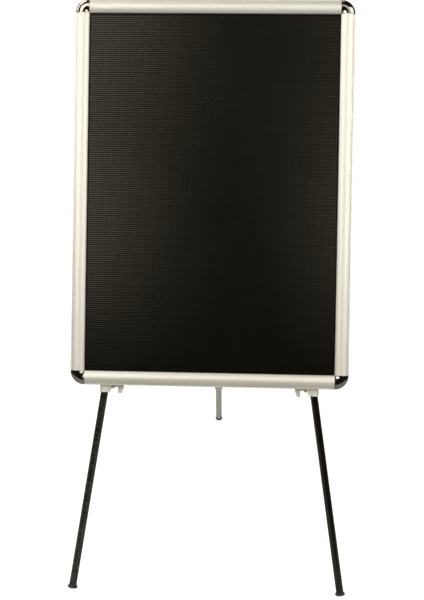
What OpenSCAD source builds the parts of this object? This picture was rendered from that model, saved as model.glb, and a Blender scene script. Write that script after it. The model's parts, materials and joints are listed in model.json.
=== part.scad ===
// Poster easel: a snap-open poster frame on a folding tripod with telescopic legs.
// Millimetres, +Z up, the display side faces -Y. The origin is on the floor, midway
// between the front feet and the rear foot.

/* [Frame] */
// Outer width of the frame
board_w = 640; // [500:10:800]
// Outer height of the frame
board_h = 888; // [700:10:1100]
// Thickness of the frame from its flat back to the crown of its rails
frame_depth = 15; // [14:0.5:16]
// Radius of the rails' rounded front
cover_r = 22; // [21:0.5:24]
// Width of the sheet that the frame holds
sheet_w = 594; // [454:10:754]
// Height of the sheet that the frame holds
sheet_h = 841; // [653:10:1053]

/* [Stance] */
// Height of the frame's lowest back edge above the floor
board_z = 468; // [400:5:550]
// How far the frame leans back
lean = 16; // [12:1:20]
// How far each front leg splays outwards
splay = 8.5; // [6:0.5:10]
// Distance of each front leg from the middle at the frame's lower edge
leg_half = 241; // [230:1:260]
// Angle of the rear leg from the vertical
rear_angle = 24.3; // [20:0.1:28]

/* [Legs] */
// Outer radius of the front legs' lower tubes
front_r_low = 8.5; // [8.5:0.5:8.5]
// Outer radius of the front legs' upper tubes
front_r_high = 10; // [10:0.5:10]
// Outer radius of the rear leg's lowest tube
rear_r_low = 9.5; // [9.5:0.5:9.5]
// Outer radius of the rear leg's middle tube
rear_r_mid = 11; // [11:0.5:11]
// Outer radius of the rear leg's top tube
rear_r_high = 12.5; // [12.5:0.5:12.5]
// How far behind the frame's back the front legs run
leg_back = 15; // [15:0.5:18]
// How far behind the frame's back the rear leg's pivot is
hinge_back = 30; // [28:1:36]
// Length of the rear leg from its pivot to its upper collar
rear_upper_len = 680; // [600:10:720]
// Length of tube showing between the rear foot's base and the lower collar
rear_foot_len = 146; // [100:2:200]

/* [Hidden] */

$fn = 64;
EPS = 0.01;

// Rails: across the rail, s runs from the outer edge inwards and d from the back forwards.
RAIL_W = 32;
PLATE_T = 1.8;
WALL_T = 1.6;
BACK_PLATE_W = 30;
CHAMBER_S = 13;
CHAMBER_TOP = 5;
HINGE_S = 4.8;
HINGE_D = 10.2;
BEAD_R = 1.5;
GROOVE_R = 1.9;
WALL_TOP = HINGE_D + 0.2;
COVER_T = 1.3;
COVER_GAP = 0.4;
CAP_RISE = 0.8;
CAP_R = cover_r + 4;
CAP_WALL = 1.8;
CAP_CROWN_S = 15;
SHELF_D = 6.8;
SHELF_OVER = 1.2;
CATCH_S = 4;
CATCH_H = 3.4;
CATCH_T = 1.2;
top_len = board_w - 2 * RAIL_W;
side_len = board_h - 2 * RAIL_W;
// The rounded front is one arc that starts on the hinge bead and crowns at the full depth.
arc_drop = frame_depth - HINGE_D - BEAD_R;
arc_s = HINGE_S + sqrt(2 * cover_r * arc_drop - arc_drop * arc_drop);
arc_d = frame_depth - cover_r;

// Panels
PANEL_MARGIN = 20;
PANEL_T = 2;
SHEET_T = 0.8;
LIP_GAP = 0.4;
sheet_top = PLATE_T + PANEL_T + SHEET_T;

// Corner keys and screws
KEY_IN = 3.4;
KEY_W = 8.4;
KEY_T = 2.6;
KEY_ARM = 45;
KEY_FLOOR = PLATE_T + 0.1;
SCREW_R = 1.5;
HEAD_R = 2.8;
HEAD_T = 1.2;
HOLE_GAP = 0.1;
KEY_SCREW = 28;

// Springs
SPRING_T = 0.5;
SPRING_S = HINGE_S + 4;
SPRING_W = 4.6;
SPRING_H = 3;
SPRING_HOOK = 2.4;
SPRING_TURN = 35;
SPRING_L = 60;
SPRING_STEP = 260;

// Brackets on the frame's back
BAR_HALF = 150;
BAR_LOW = board_h - 48;
BAR_H = 46;
BAR_T = 3;
BAR_LIP = 6;
BAR_SCREW_Z = board_h - 8;
BAR_SCREW_X = [-135, -52, 52, 135];
SOCKET_H = 24;
SOCKET_R = leg_back - BAR_T;
SOCKET_FLANGE = 25;
SOCKET_SCREW = 19;
FLANGE_T = 3;
socket_z = (board_h - 42) / cos(splay);
tube_top = socket_z + SOCKET_H + 2;
SADDLE_WALL = 2.5;
SADDLE_LOW = 14;
SADDLE_H = 15;
SADDLE_SCREW_Z = 17.3;
SADDLE_FLANGE = 22;
SADDLE_SCREW = 17.5;
hinge_up = board_h - 24;
EAR_IN = 13;
EAR_T = 3;
EAR_R = 12;
BRACKET_W = 34;
BRACKET_H = 34;
BRACKET_SCREW = [26, 10.5];
PIVOT_R = 4;
BOLT_HEAD_R = 6.5;
BOLT_HEAD_H = 4;
BOLT_END = 2.5;
NUT_H = 6;
WASHER_R = 8;
WASHER_T = 1;
HEAD_HALF = 12.4;
HUB_R = 12;
NECK_GAP = 6;
NECK_LEN = 30;
STOP_HALF = 8;
STOP_H = 8;
STOP_GAP = 0.2;

// Tubes, collars, levers and feet
TUBE_WALL = 1;
FIT = 0.05;
RUN = 0.3;
COLLAR_WALL = 2.8;
COLLAR_LOW = -18.5;
COLLAR_WAIST = -2;
COLLAR_TOP = 12;
SEAT_Z = 3;
TIP_WALL = 1.8;
LUG_TOP = 3.9;
LUG_TIP = -0.3;
PIVOT_OUT = 7.5;
PIVOT_Z = -5.5;
BOSS_R = 4.5;
EAR_GAP = 5;
EAR_OUT = 8;
CAM_R = 5;
CAM_THROW = 1.2;
LEVER_HALF = 4.6;
ARM_TOP = 2.7;
ARM_T = 3.9;
PIN_R = 2;
PIN_HEAD_R = 3.4;
PIN_HEAD_T = 1.2;
FINGER_HALF = 5.5;
FINGER_IN = 11;
FINGER_OUT = 24;
FINGER_LOW = -15.8;
RIB_CUT = 1.2;
SHOE_GAP = 0.3;
SHOE_HALF = 4.4;
SHOE_H = 12;
PLUG_LEN = 12;
BUSH_H = 8;
FOOT_R = 11.3;
FOOT_PAD = 3.2;
FOOT_LIP = 5.6;
FOOT_LIP_T = 0.9;
FOOT_PLUG = 26;
FOOT_FLOOR = 2.6;
INSERTED = 120;

// Stance worked out from the angles
front_tilt = acos(cos(splay) * cos(lean));
leg_z = board_z - leg_back * sin(lean);
front_len = (leg_z - FOOT_R * sin(front_tilt)) / cos(front_tilt);
open_angle = rear_angle + lean;
pivot_y = hinge_back * cos(lean) + hinge_up * sin(lean);
pivot_z = board_z + hinge_up * cos(lean) - hinge_back * sin(lean);
rear_len = (pivot_z - FOOT_R * sin(rear_angle)) / cos(rear_angle);
front_pull = cos(splay) * sin(lean);
front_edge = leg_back * cos(lean) - front_len * front_pull
    - FOOT_R * sqrt(1 - front_pull * front_pull);
rear_edge = pivot_y + rear_len * sin(rear_angle) + FOOT_R * cos(rear_angle);
board_y = -(front_edge + rear_edge) / 2;
lower_collar_z = -(rear_len - rear_foot_len + COLLAR_LOW);

// ---- Frames of reference ----

// The frame's own plane: x across, y backwards from its flat back, z up along it
module on_board() {
    translate([0, board_y, board_z]) rotate([-lean, 0, 0]) children();
}

// A front leg's clamp, square to the frame: z up from its lower edge, x towards the middle
module on_clamp(side) {
    on_board() mirror([side > 0 ? 1 : 0, 0, 0])
        translate([-leg_half, leg_back, 0]) children();
}

// A front leg: z up along its tube from the frame's lower edge, x towards the middle
module on_leg(side) {
    on_clamp(side) rotate([0, splay, 0]) children();
}

// The rear leg: z up along its tube to the pivot, y away from the frame
module on_rear() {
    on_board() translate([0, hinge_back, hinge_up]) rotate([open_angle, 0, 0]) children();
}

// A clamp on the rear leg, turned so that its lever points backwards
module on_rear_clamp(z) {
    on_rear() translate([0, 0, z]) rotate([0, 0, 90]) children();
}

// One of the four rails: x along it, z inwards from its outer edge
module on_rail(side) {
    turns = search([side], ["bottom", "left", "top", "right"])[0];
    across = turns % 2 == 1 ? board_w / 2 : board_h / 2;
    on_board() translate([0, 0, board_h / 2]) rotate([0, 90 * turns, 0])
        translate([0, 0, -across]) children();
}

// A corner: x and z outwards from the corner's centre of curvature
module on_corner(across, up) {
    on_board() translate([0, 0, board_h / 2])
        mirror([across < 0 ? 1 : 0, 0, 0]) mirror([0, 0, up < 0 ? 1 : 0])
            translate([board_w / 2 - RAIL_W, 0, board_h / 2 - RAIL_W]) children();
}

// Extrudes a rail's section along x
module along_rail(length) {
    rotate(180, [1, 0, 1]) linear_extrude(length, center = true) children();
}

// A cylinder along y from y0 to y1
module rod_y(r, y0, y1) {
    translate([0, y1, 0]) rotate([90, 0, 0]) cylinder(r = r, h = y1 - y0);
}

// ---- Frame sections ----

module base_section() {
    difference() {
        union() {
            square([BACK_PLATE_W, PLATE_T]);
            square([WALL_T, WALL_TOP]);
            translate([0, SHELF_D])
                square([HINGE_S + GROOVE_R + SHELF_OVER, WALL_TOP - SHELF_D]);
            translate([0, CHAMBER_TOP]) square([CHAMBER_S + WALL_T, WALL_T]);
            translate([CHAMBER_S, 0]) square([WALL_T, CHAMBER_TOP + EPS]);
        }
        translate([HINGE_S, HINGE_D]) circle(GROOVE_R);
        translate([HINGE_S, HINGE_D]) square(2 * GROOVE_R);
    }
}

module cover_section() {
    intersection() {
        difference() {
            translate([arc_s, arc_d]) circle(cover_r, $fn = 180);
            translate([arc_s, arc_d]) circle(cover_r - COVER_T, $fn = 180);
        }
        translate([HINGE_S, sheet_top + LIP_GAP]) square([RAIL_W - HINGE_S, frame_depth]);
    }
    translate([HINGE_S, HINGE_D]) circle(BEAD_R);
    lip_top = arc_d + sqrt(pow(cover_r - COVER_T / 2, 2) - pow(RAIL_W - arc_s, 2));
    translate([RAIL_W - WALL_T, sheet_top + LIP_GAP])
        square([WALL_T, lip_top - sheet_top - LIP_GAP]);
    translate([arc_s - CATCH_S, frame_depth - COVER_T - CATCH_H])
        square([CATCH_T, CATCH_H]);
}

// Half of a corner cap's domed section, about its centre of curvature, from depth low up
module cap_section(radius, width, low) {
    intersection() {
        translate([RAIL_W - CAP_CROWN_S, frame_depth + CAP_RISE - CAP_R])
            circle(radius, $fn = 180);
        translate([0, low]) square([width, frame_depth + CAP_RISE + 1]);
    }
}

module spring_section() {
    translate([SPRING_S, CHAMBER_TOP + WALL_T]) {
        square([SPRING_W, SPRING_T]);
        square([SPRING_T, SPRING_H]);
        translate([0, SPRING_H - SPRING_T]) rotate(SPRING_TURN)
            square([SPRING_HOOK, SPRING_T]);
    }
}

// ---- Frame pieces ----

module back_panel() {
    color("dimgray") on_board()
        translate([PANEL_MARGIN - board_w / 2, -PLATE_T - PANEL_T, PANEL_MARGIN])
            cube([board_w - 2 * PANEL_MARGIN, PANEL_T, board_h - 2 * PANEL_MARGIN]);
}

module insert_panel() {
    color("#15150f") on_board()
        translate([-sheet_w / 2, -sheet_top, (board_h - sheet_h) / 2])
            cube([sheet_w, SHEET_T, sheet_h]);
}

module base_rail(side, length) {
    color("silver") on_rail(side) difference() {
        along_rail(length) base_section();
        for (end = [-1, 1]) key_screw_hole(end * (length / 2 - KEY_SCREW));
        if (side == "top") for (x = BAR_SCREW_X)
            translate([x, 0, board_h - BAR_SCREW_Z]) rod_y(SCREW_R + HOLE_GAP, -3, 1);
        if (side == "bottom") for (x = saddle_screws())
            translate([x, 0, SADDLE_SCREW_Z]) rod_y(SCREW_R + HOLE_GAP, -3, 1);
    }
}

module key_screw_hole(x) {
    translate([x, 0, KEY_IN + KEY_W / 2]) rod_y(SCREW_R + HOLE_GAP, -3, 1);
}

function saddle_screws() = [
    for (side = [-1, 1], out = [-1, 1]) side * (saddle_x() + out * SADDLE_SCREW)
];
function saddle_x() = leg_half - (SADDLE_LOW + SADDLE_H / 2) * tan(splay);

module snap_rail(side, length) {
    color("gainsboro") on_rail(side) along_rail(length - 2 * COVER_GAP) cover_section();
}

module corner_cap(across, up) {
    color("#9a9a9a") on_corner(across, up) difference() {
        rotate([90, 0, 0]) rotate_extrude(angle = 90) difference() {
            cap_section(CAP_R, RAIL_W, 0);
            cap_section(CAP_R - CAP_WALL, RAIL_W - CAP_WALL, PLATE_T);
        }
        rotate([0, -45, 0]) translate([RAIL_W - KEY_IN - KEY_W / 2, 0, 0])
            rod_y(SCREW_R + HOLE_GAP, -3, 1);
    }
}

module corner_keys() {
    ring = RAIL_W - KEY_IN - KEY_W;
    color("slategray") for (across = [-1, 1], up = [-1, 1]) on_corner(across, up)
        difference() {
            union() {
                rotate([90, 0, 0]) rotate_extrude(angle = 90)
                    translate([ring, KEY_FLOOR]) square([KEY_W, KEY_T]);
                translate([ring, -KEY_FLOOR - KEY_T, -KEY_ARM])
                    cube([KEY_W, KEY_T, KEY_ARM]);
                translate([-KEY_ARM, -KEY_FLOOR - KEY_T, ring])
                    cube([KEY_ARM, KEY_T, KEY_W]);
            }
            key_screw_places() rod_y(SCREW_R + HOLE_GAP, -6, 1);
        }
}

// The screws of one corner: one on the bend and one in each arm
module key_screw_places() {
    middle = RAIL_W - KEY_IN - KEY_W / 2;
    rotate([0, -45, 0]) translate([middle, 0, 0]) children();
    translate([middle, 0, -KEY_SCREW]) children();
    translate([-KEY_SCREW, 0, middle]) children();
}

// A pan-head screw that goes in along -y, its head on the face at y = 0
module screw(r, length, head_r, head_t) {
    rod_y(r, -length, EPS);
    difference() {
        rod_y(head_r, 0, head_t);
        for (turn = [0, 90]) rotate([0, turn, 0])
            translate([-head_r * 0.6, head_t * 0.4, -head_r * 0.12])
                cube([head_r * 1.2, head_t, head_r * 0.24]);
    }
}

module corner_screws() {
    color("lightgray") for (across = [-1, 1], up = [-1, 1]) on_corner(across, up)
        key_screw_places() screw(SCREW_R, KEY_FLOOR + KEY_T, HEAD_R, HEAD_T);
}

module snap_springs() {
    color("lightsteelblue") {
        for (side = ["top", "bottom"]) on_rail(side)
            for (x = [-0.5, 0.5]) translate([x * SPRING_STEP, 0, 0])
                along_rail(SPRING_L) spring_section();
        for (side = ["left", "right"]) on_rail(side)
            for (x = [-1, 0, 1]) translate([x * SPRING_STEP, 0, 0])
                along_rail(SPRING_L) spring_section();
    }
}

// ---- Brackets ----

module top_crossbar() {
    color("slategray") on_board() difference() {
        union() {
            translate([-BAR_HALF, 0, BAR_LOW]) cube([2 * BAR_HALF, BAR_T, BAR_H]);
            translate([-BAR_HALF, 0, BAR_LOW + BAR_H - BAR_T])
                cube([2 * BAR_HALF, BAR_T + BAR_LIP, BAR_T]);
        }
        for (x = BAR_SCREW_X) translate([x, 0, BAR_SCREW_Z])
            rod_y(SCREW_R + HOLE_GAP, -1, BAR_T + 1);
        socket_screw_places() rod_y(SCREW_R + HOLE_GAP, -1, BAR_T + 1);
        bracket_screw_places() rod_y(SCREW_R + HOLE_GAP, -1, BAR_T + 1);
    }
}

module socket_screw_places() {
    for (side = [-1, 1]) mirror([side > 0 ? 1 : 0, 0, 0])
        translate([-leg_half, 0, 0]) rotate([0, splay, 0])
            for (out = [-1, 1]) translate([out * SOCKET_SCREW, 0, socket_z + SOCKET_H / 2])
                children();
}

module bracket_screw_places() {
    for (across = [-1, 1], up = [-1, 1])
        translate([across * BRACKET_SCREW[0], 0, hinge_up + up * BRACKET_SCREW[1]])
            children();
}

module tube_socket(side) {
    color("#8f918c") on_leg(side) translate([0, 0, socket_z]) difference() {
        union() {
            cylinder(r = SOCKET_R, h = SOCKET_H);
            translate([-SOCKET_R, BAR_T - leg_back, 0])
                cube([2 * SOCKET_R, leg_back - BAR_T, SOCKET_H]);
            translate([-SOCKET_FLANGE, BAR_T - leg_back, 0])
                cube([2 * SOCKET_FLANGE, FLANGE_T, SOCKET_H]);
        }
        translate([0, 0, -EPS]) cylinder(r = front_r_high + FIT, h = SOCKET_H + 1);
        for (out = [-1, 1]) translate([out * SOCKET_SCREW, 0, SOCKET_H / 2])
            rod_y(SCREW_R + HOLE_GAP, -leg_back, 0);
    }
}

module saddle_clip(side) {
    color("#8f918c") difference() {
        union() {
            on_leg(side) translate([0, 0, SADDLE_LOW])
                cylinder(r = front_r_high + SADDLE_WALL, h = SADDLE_H);
            on_board() translate([side * saddle_x(), 0, SADDLE_LOW]) {
                translate([-SADDLE_FLANGE, 0, 0])
                    cube([2 * SADDLE_FLANGE, FLANGE_T, SADDLE_H]);
                translate([-front_r_high, 0, 0])
                    cube([2 * front_r_high, leg_back, SADDLE_H]);
            }
        }
        on_leg(side) cylinder(r = front_r_high + FIT, h = 60);
        on_board() for (x = saddle_screws()) translate([x, 0, SADDLE_SCREW_Z])
            rod_y(SCREW_R + HOLE_GAP, -1, FLANGE_T + 1);
    }
}

module hinge_bracket() {
    ear_l = hinge_back - BAR_T;
    color("slategray") on_board() translate([0, BAR_T, hinge_up]) difference() {
        union() {
            translate([-BRACKET_W, 0, -BRACKET_H / 2])
                cube([2 * BRACKET_W, FLANGE_T, BRACKET_H]);
            for (side = [-1, 1]) translate([side * (EAR_IN + EAR_T / 2), 0, 0]) {
                translate([-EAR_T / 2, 0, -EAR_R]) cube([EAR_T, ear_l, 2 * EAR_R]);
                translate([-EAR_T / 2, ear_l, 0]) rotate([0, 90, 0])
                    cylinder(r = EAR_R, h = EAR_T);
            }
        }
        translate([-BRACKET_W, ear_l, 0]) rotate([0, 90, 0])
            cylinder(r = PIVOT_R + FIT, h = 2 * BRACKET_W);
        for (across = [-1, 1], up = [-1, 1])
            translate([across * BRACKET_SCREW[0], 0, up * BRACKET_SCREW[1]])
                rod_y(SCREW_R + HOLE_GAP, -1, FLANGE_T + 1);
    }
}

module bracket_screws() {
    color("lightgray") on_board() {
        for (x = BAR_SCREW_X) translate([x, BAR_T, BAR_SCREW_Z])
            screw(SCREW_R, BAR_T + PLATE_T + 1, HEAD_R, HEAD_T);
        socket_screw_places() translate([0, BAR_T + FLANGE_T, 0])
            screw(SCREW_R, BAR_T + FLANGE_T, HEAD_R, HEAD_T);
        bracket_screw_places() translate([0, BAR_T + FLANGE_T, 0])
            screw(SCREW_R, BAR_T + FLANGE_T, HEAD_R, HEAD_T);
        for (x = saddle_screws()) translate([x, FLANGE_T, SADDLE_SCREW_Z])
            screw(SCREW_R, FLANGE_T + PLATE_T, HEAD_R, HEAD_T);
    }
}

// ---- Telescopic leg pieces, each about its own tube's axis ----

module tube(r, z0, z1) {
    translate([0, 0, z0]) difference() {
        cylinder(r = r, h = z1 - z0);
        translate([0, 0, -1]) cylinder(r = r - TUBE_WALL, h = z1 - z0 + 2);
    }
}

// A plug in a tube's top end whose head stands on the tube at height z
module plug(inner_r, head_r, head_h, z) {
    translate([0, 0, z - PLUG_LEN]) cylinder(r = inner_r - FIT, h = PLUG_LEN + EPS);
    translate([0, 0, z]) cylinder(r = head_r, h = head_h);
}

// A clamp collar on a tube of radius r that holds the next size down. The tubes run
// through it at an angle of tilt, and its lug carries the lever on the x side.
module collar(r, tilt = 0) {
    inner = r - TUBE_WALL - 0.5;
    pivot = r + PIVOT_OUT;
    color("#b9bab3") difference() {
        intersection() {
            union() {
                rotate([0, tilt, 0]) {
                    translate([0, 0, COLLAR_WAIST])
                        cylinder(r = r + COLLAR_WALL, h = 2 * COLLAR_TOP);
                    translate([0, 0, COLLAR_LOW - BOSS_R])
                        cylinder(r1 = inner + TIP_WALL, r2 = r + COLLAR_WALL,
                            h = COLLAR_WAIST - COLLAR_LOW + BOSS_R);
                }
                collar_lug(r, pivot);
            }
            translate([-2 * pivot, -2 * pivot, COLLAR_LOW])
                cube([4 * pivot, 4 * pivot, COLLAR_TOP - COLLAR_LOW]);
        }
        rotate([0, tilt, 0]) {
            translate([0, 0, 2 * COLLAR_LOW]) cylinder(r = inner + RUN, h = 60);
            translate([0, 0, SEAT_Z]) cylinder(r = r + FIT, h = 40);
        }
        translate([0, -EAR_GAP, PIVOT_Z - CAM_R - CAM_THROW - 1])
            cube([2 * pivot, 2 * EAR_GAP, 2 * (CAM_R + CAM_THROW) + 1]);
        translate([pivot, 0, PIVOT_Z]) rod_y(PIN_R + FIT / 5, -EAR_OUT - 1, EAR_OUT + 1);
    }
}

module collar_lug(r, pivot) {
    rotate([90, 0, 0]) linear_extrude(2 * EAR_OUT, center = true) {
        polygon([
            [0, COLLAR_LOW], [r + LUG_TIP, COLLAR_LOW], [r + LUG_TOP, 0],
            [r + LUG_TOP, COLLAR_TOP], [0, COLLAR_TOP]
        ]);
        translate([pivot, PIVOT_Z]) circle(BOSS_R);
        translate([r, PIVOT_Z - BOSS_R]) square([pivot - r, 2 * BOSS_R]);
    }
}

// The block that the lever's cam presses against the inner tube
module clamp_shoe(r, tilt = 0) {
    inner = r - TUBE_WALL - 0.5;
    face = r + PIVOT_OUT - CAM_R - CAM_THROW - SHOE_GAP;
    color("#6f716c") difference() {
        translate([0, -SHOE_HALF, PIVOT_Z - SHOE_H / 2])
            cube([face, 2 * SHOE_HALF, SHOE_H]);
        rotate([0, tilt, 0]) translate([0, 0, 2 * COLLAR_LOW])
            cylinder(r = inner + RUN, h = 60);
    }
}

module lever_pin(r) {
    color("lightgray") translate([r + PIVOT_OUT, 0, PIVOT_Z]) {
        rod_y(PIN_R, -EAR_OUT - EPS, EAR_OUT + EPS);
        rod_y(PIN_HEAD_R, EAR_OUT, EAR_OUT + PIN_HEAD_T);
        rod_y(PIN_HEAD_R, -EAR_OUT - PIN_HEAD_T, -EAR_OUT);
    }
}

// The cam lever, locked: its arm reaches out and its ribbed finger grip hangs down
module lever(r) {
    color("#a9aaa3") translate([r + PIVOT_OUT, 0, PIVOT_Z]) difference() {
        union() {
            rod_y(CAM_R, -LEVER_HALF, LEVER_HALF);
            translate([-CAM_THROW, 0, 0]) rod_y(CAM_R, -LEVER_HALF, LEVER_HALF);
            translate([0, -LEVER_HALF, ARM_TOP - ARM_T])
                cube([FINGER_OUT - 3, 2 * LEVER_HALF, ARM_T]);
            rotate([90, 0, 0]) linear_extrude(2 * FINGER_HALF, center = true)
                polygon([
                    [FINGER_IN, ARM_TOP - ARM_T], [FINGER_IN + 1.5, FINGER_LOW],
                    [FINGER_OUT - 5.5, FINGER_LOW], [FINGER_OUT - 4, FINGER_LOW + 2],
                    [FINGER_OUT, -3], [FINGER_OUT, ARM_TOP - 1.5],
                    [FINGER_OUT - 1.5, ARM_TOP], [FINGER_IN, ARM_TOP]
                ]);
        }
        rod_y(PIN_R + FIT, -LEVER_HALF - 1, LEVER_HALF + 1);
        for (side = [-1, 1], z = [-5.5, -9, -12.5])
            translate([FINGER_IN - 1, side * FINGER_HALF, z])
                rotate([45, 0, 0]) translate([0, -RIB_CUT / 2, -RIB_CUT / 2])
                    cube([FINGER_OUT - FINGER_IN + 2, RIB_CUT, RIB_CUT]);
    }
}

// A foot: a plug in the tube's end on a flared pad whose flat base is at z = 0
module foot(r) {
    color("#1c1c1a") rotate_extrude() {
        square([r - TUBE_WALL - FIT, FOOT_PLUG]);
        difference() {
            polygon([
                [0, 0], [FOOT_R, 0], [FOOT_R, FOOT_PAD], [r + FOOT_LIP_T, FOOT_LIP],
                [0, FOOT_LIP]
            ]);
            translate([r - TUBE_WALL - FIT, FOOT_FLOOR])
                square([TUBE_WALL + 2 * FIT, FOOT_LIP]);
        }
    }
}

// ---- Front legs ----

module outer_tube(side) {
    color("#4a4a46") on_leg(side) tube(front_r_high, SEAT_Z + FIT, tube_top);
}

module inner_tube(side) {
    color("#30302c") on_leg(side)
        tube(front_r_low, FOOT_FLOOR + FIT - front_len, INSERTED);
}

module glide_bush(side) {
    color("whitesmoke") on_leg(side)
        plug(front_r_low - TUBE_WALL, front_r_high - TUBE_WALL - RUN, BUSH_H, INSERTED);
}

module tube_plugs() {
    color("#1c1c1a") for (side = [-1, 1]) on_leg(side)
        plug(front_r_high - TUBE_WALL, front_r_high, 2, tube_top);
}

// ---- Rear leg ----

module rear_hinge_head() {
    color("#8f918c") difference() {
        union() {
            on_rear() {
                translate([-HEAD_HALF, 0, 0]) rotate([0, 90, 0])
                    cylinder(r = HUB_R, h = 2 * HEAD_HALF);
                translate([0, 0, -HUB_R - NECK_GAP])
                    cylinder(r = rear_r_high, h = HUB_R + NECK_GAP);
                translate([0, 0, -HUB_R - NECK_GAP - NECK_LEN])
                    cylinder(r = rear_r_high - TUBE_WALL - FIT, h = NECK_LEN + 2);
            }
            on_board() translate([-STOP_HALF, BAR_T + FLANGE_T + STOP_GAP, hinge_up])
                cube([2 * STOP_HALF, hinge_back - BAR_T - FLANGE_T - STOP_GAP, STOP_H]);
        }
        on_rear() translate([-20, 0, 0]) rotate([0, 90, 0])
            cylinder(r = PIVOT_R + FIT, h = 40);
    }
}

module rear_hinge_bolt() {
    color("lightgray") on_board() translate([0, hinge_back, hinge_up]) rotate([0, 90, 0]) {
        outer = EAR_IN + EAR_T + WASHER_T;
        translate([0, 0, -outer]) cylinder(r = PIVOT_R, h = 2 * outer + NUT_H + BOLT_END);
        translate([0, 0, -outer - BOLT_HEAD_H])
            cylinder(r = BOLT_HEAD_R, h = BOLT_HEAD_H, $fn = 6);
    }
}

module rear_hinge_nut() {
    color("lightgray") on_board()
        translate([EAR_IN + EAR_T + WASHER_T, hinge_back, hinge_up])
            rotate([0, 90, 0]) difference() {
                cylinder(r = BOLT_HEAD_R, h = NUT_H, $fn = 6);
                translate([0, 0, -1]) cylinder(r = PIVOT_R + EPS, h = NUT_H + 2);
            }
}

module rear_hinge_washers() {
    color("gainsboro") on_board() for (side = [-1, 1])
        translate([side * (EAR_IN + EAR_T + WASHER_T / 2), hinge_back, hinge_up])
            rotate([0, 90, 0]) difference() {
                cylinder(r = WASHER_R, h = WASHER_T, center = true);
                cylinder(r = PIVOT_R + EPS, h = 3 * WASHER_T, center = true);
            }
}

module rear_upper_tube() {
    color("#4a4a46") on_rear()
        tube(rear_r_high, SEAT_Z + FIT - rear_upper_len, -HUB_R - NECK_GAP - FIT);
}

module rear_mid_tube() {
    color("#4a4a46") on_rear()
        tube(rear_r_mid, SEAT_Z + FIT + lower_collar_z, INSERTED - rear_upper_len);
}

module rear_mid_bush() {
    color("whitesmoke") on_rear()
        plug(rear_r_mid - TUBE_WALL, rear_r_high - TUBE_WALL - RUN, BUSH_H,
            INSERTED - rear_upper_len);
}

module rear_lower_tube() {
    color("#85867f") on_rear()
        tube(rear_r_low, FOOT_FLOOR + FIT - rear_len, INSERTED + lower_collar_z);
}

module rear_lower_bush() {
    color("whitesmoke") on_rear()
        plug(rear_r_low - TUBE_WALL, rear_r_mid - TUBE_WALL - RUN, BUSH_H,
            INSERTED + lower_collar_z);
}

back_panel();
insert_panel();
base_rail("top", top_len);  // base_rail_top
base_rail("bottom", top_len);  // base_rail_bottom
base_rail("left", side_len);  // base_rail_left
base_rail("right", side_len);  // base_rail_right
snap_rail("top", top_len);  // snap_rail_top
snap_rail("bottom", top_len);  // snap_rail_bottom
snap_rail("left", side_len);  // snap_rail_left
snap_rail("right", side_len);  // snap_rail_right
corner_cap(-1, 1);  // corner_cap_top_left
corner_cap(1, 1);  // corner_cap_top_right
corner_cap(-1, -1);  // corner_cap_bottom_left
corner_cap(1, -1);  // corner_cap_bottom_right
corner_keys();
corner_screws();
snap_springs();
top_crossbar();
hinge_bracket();
bracket_screws();
tube_socket(-1);  // tube_socket_left
tube_socket(1);  // tube_socket_right
saddle_clip(-1);  // saddle_clip_left
saddle_clip(1);  // saddle_clip_right
outer_tube(-1);  // outer_tube_left
outer_tube(1);  // outer_tube_right
tube_plugs();
on_clamp(-1) collar(front_r_high, splay);  // collar_left
on_clamp(1) collar(front_r_high, splay);  // collar_right
for (side = [-1, 1]) on_clamp(side) clamp_shoe(front_r_high, splay);  // clamp_shoes_front
for (side = [-1, 1]) on_clamp(side) lever_pin(front_r_high);  // lever_pins_front
on_clamp(-1) lever(front_r_high);  // lever_left
on_clamp(1) lever(front_r_high);  // lever_right
inner_tube(-1);  // inner_tube_left
inner_tube(1);  // inner_tube_right
glide_bush(-1);  // glide_bush_left
glide_bush(1);  // glide_bush_right
on_leg(-1) translate([0, 0, -front_len]) foot(front_r_low);  // foot_left
on_leg(1) translate([0, 0, -front_len]) foot(front_r_low);  // foot_right
rear_hinge_head();
rear_hinge_bolt();
rear_hinge_nut();
rear_hinge_washers();
rear_upper_tube();
on_rear_clamp(-rear_upper_len) collar(rear_r_high);  // rear_upper_collar
on_rear_clamp(-rear_upper_len) clamp_shoe(rear_r_high);  // rear_upper_shoe
on_rear_clamp(-rear_upper_len) lever_pin(rear_r_high);  // rear_upper_lever_pin
on_rear_clamp(-rear_upper_len) lever(rear_r_high);  // rear_upper_lever
rear_mid_tube();
rear_mid_bush();
on_rear_clamp(lower_collar_z) collar(rear_r_mid);  // rear_lower_collar
on_rear_clamp(lower_collar_z) clamp_shoe(rear_r_mid);  // rear_lower_shoe
on_rear_clamp(lower_collar_z) lever_pin(rear_r_mid);  // rear_lower_lever_pin
on_rear_clamp(lower_collar_z) lever(rear_r_mid);  // rear_lower_lever
rear_lower_tube();
rear_lower_bush();
on_rear() translate([0, 0, -rear_len]) foot(rear_r_low);  // rear_foot
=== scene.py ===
"""A snap-frame poster easel on telescopic legs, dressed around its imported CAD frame."""
import json
import math

import bmesh
import bpy
from mathutils import Euler, Matrix, Vector


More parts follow.
